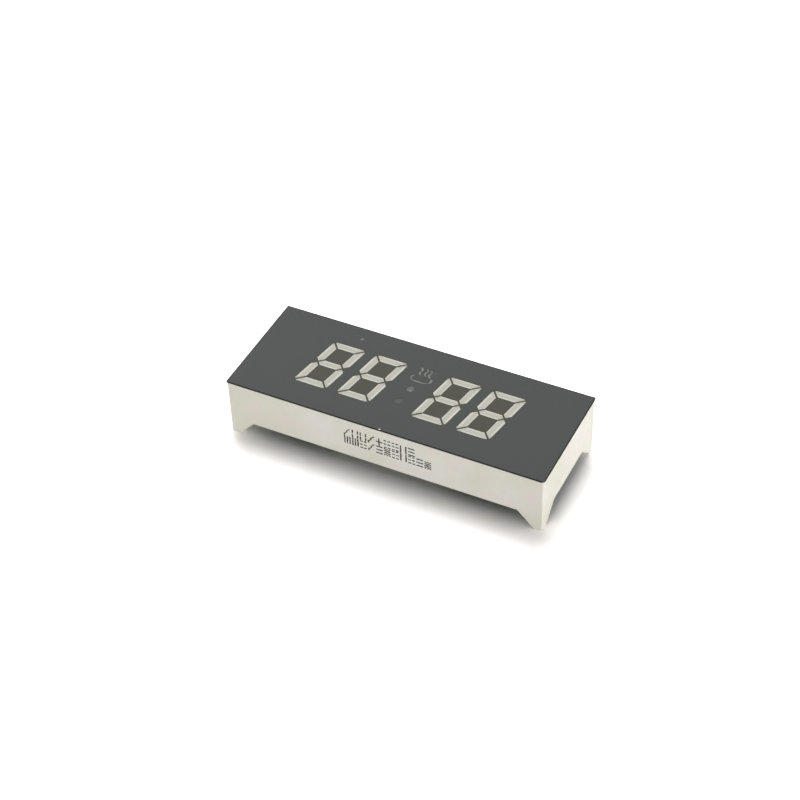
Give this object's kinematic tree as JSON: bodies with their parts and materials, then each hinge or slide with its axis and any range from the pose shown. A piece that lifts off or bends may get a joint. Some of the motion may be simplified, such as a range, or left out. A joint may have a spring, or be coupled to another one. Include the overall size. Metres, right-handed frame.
{
  "type": "four-digit seven-segment clock display",
  "caption": "Clock display module: white moulded housing on corner feet, dark grey face, slanted pale digit segments, colon and steam symbol, two rows of leads below.",
  "frame": {"origin": "middle of the plane that the four corner feet stand on", "axes": "+X along the row of digits, left to right as they are read; +Y towards the tops of the digits; +Z out of the face"},
  "size_m": [0.0502, 0.019, 0.0098],
  "materials": {
    "white_housing": "fine moulded satin, warm white",
    "grey_film": "dull printed film, dark grey",
    "pale_epoxy": "diffused cast epoxy, cream grey",
    "smoked_window": "diffused epoxy under a smoked window",
    "dark_window": "diffused epoxy under a dark window",
    "green_board": "green solder mask on glass laminate",
    "gold_pads": "thin gold plate on copper",
    "die": "sawn semiconductor",
    "gold_wire": "drawn gold wire",
    "tinned_lead": "dull tin plate",
    "solder": "frozen solder, half bright"
  },
  "bodies": {
    "root": {"reflector_housing": "white_housing", "face_film": "grey_film", "digit_1_segment_a": "pale_epoxy", "digit_1_segment_b": "pale_epoxy", "digit_1_segment_c": "pale_epoxy", "digit_1_segment_d": "pale_epoxy", "digit_1_segment_e": "pale_epoxy", "digit_1_segment_f": "pale_epoxy", "digit_1_segment_g": "pale_epoxy", "digit_2_segment_a": "pale_epoxy", "digit_2_segment_b": "pale_epoxy", "digit_2_segment_c": "pale_epoxy", "digit_2_segment_d": "pale_epoxy", "digit_2_segment_e": "pale_epoxy", "digit_2_segment_f": "pale_epoxy", "digit_2_segment_g": "pale_epoxy", "digit_3_segment_a": "pale_epoxy", "digit_3_segment_b": "pale_epoxy", "digit_3_segment_c": "pale_epoxy", "digit_3_segment_d": "pale_epoxy", "digit_3_segment_e": "pale_epoxy", "digit_3_segment_f": "pale_epoxy", "digit_3_segment_g": "pale_epoxy", "digit_4_segment_a": "pale_epoxy", "digit_4_segment_b": "pale_epoxy", "digit_4_segment_c": "pale_epoxy", "digit_4_segment_d": "pale_epoxy", "digit_4_segment_e": "pale_epoxy", "digit_4_segment_f": "pale_epoxy", "digit_4_segment_g": "pale_epoxy", "colon_dot_upper": "smoked_window", "colon_dot_lower": "dark_window", "icon_light_guide": "smoked_window", "circuit_board": "green_board", "board_pads": "gold_pads", "digit_1_dies": "die", "digit_1_bond_wires": "gold_wire", "digit_2_dies": "die", "digit_2_bond_wires": "gold_wire", "digit_3_dies": "die", "digit_3_bond_wires": "gold_wire", "digit_4_dies": "die", "digit_4_bond_wires": "gold_wire", "colon_dies": "die", "colon_bond_wires": "gold_wire", "icon_dies": "die", "icon_bond_wires": "gold_wire", "lead_row_front": "tinned_lead", "solder_joints_front": "solder", "lead_row_rear": "tinned_lead", "solder_joints_rear": "solder"}
  },
  "joints": []
}
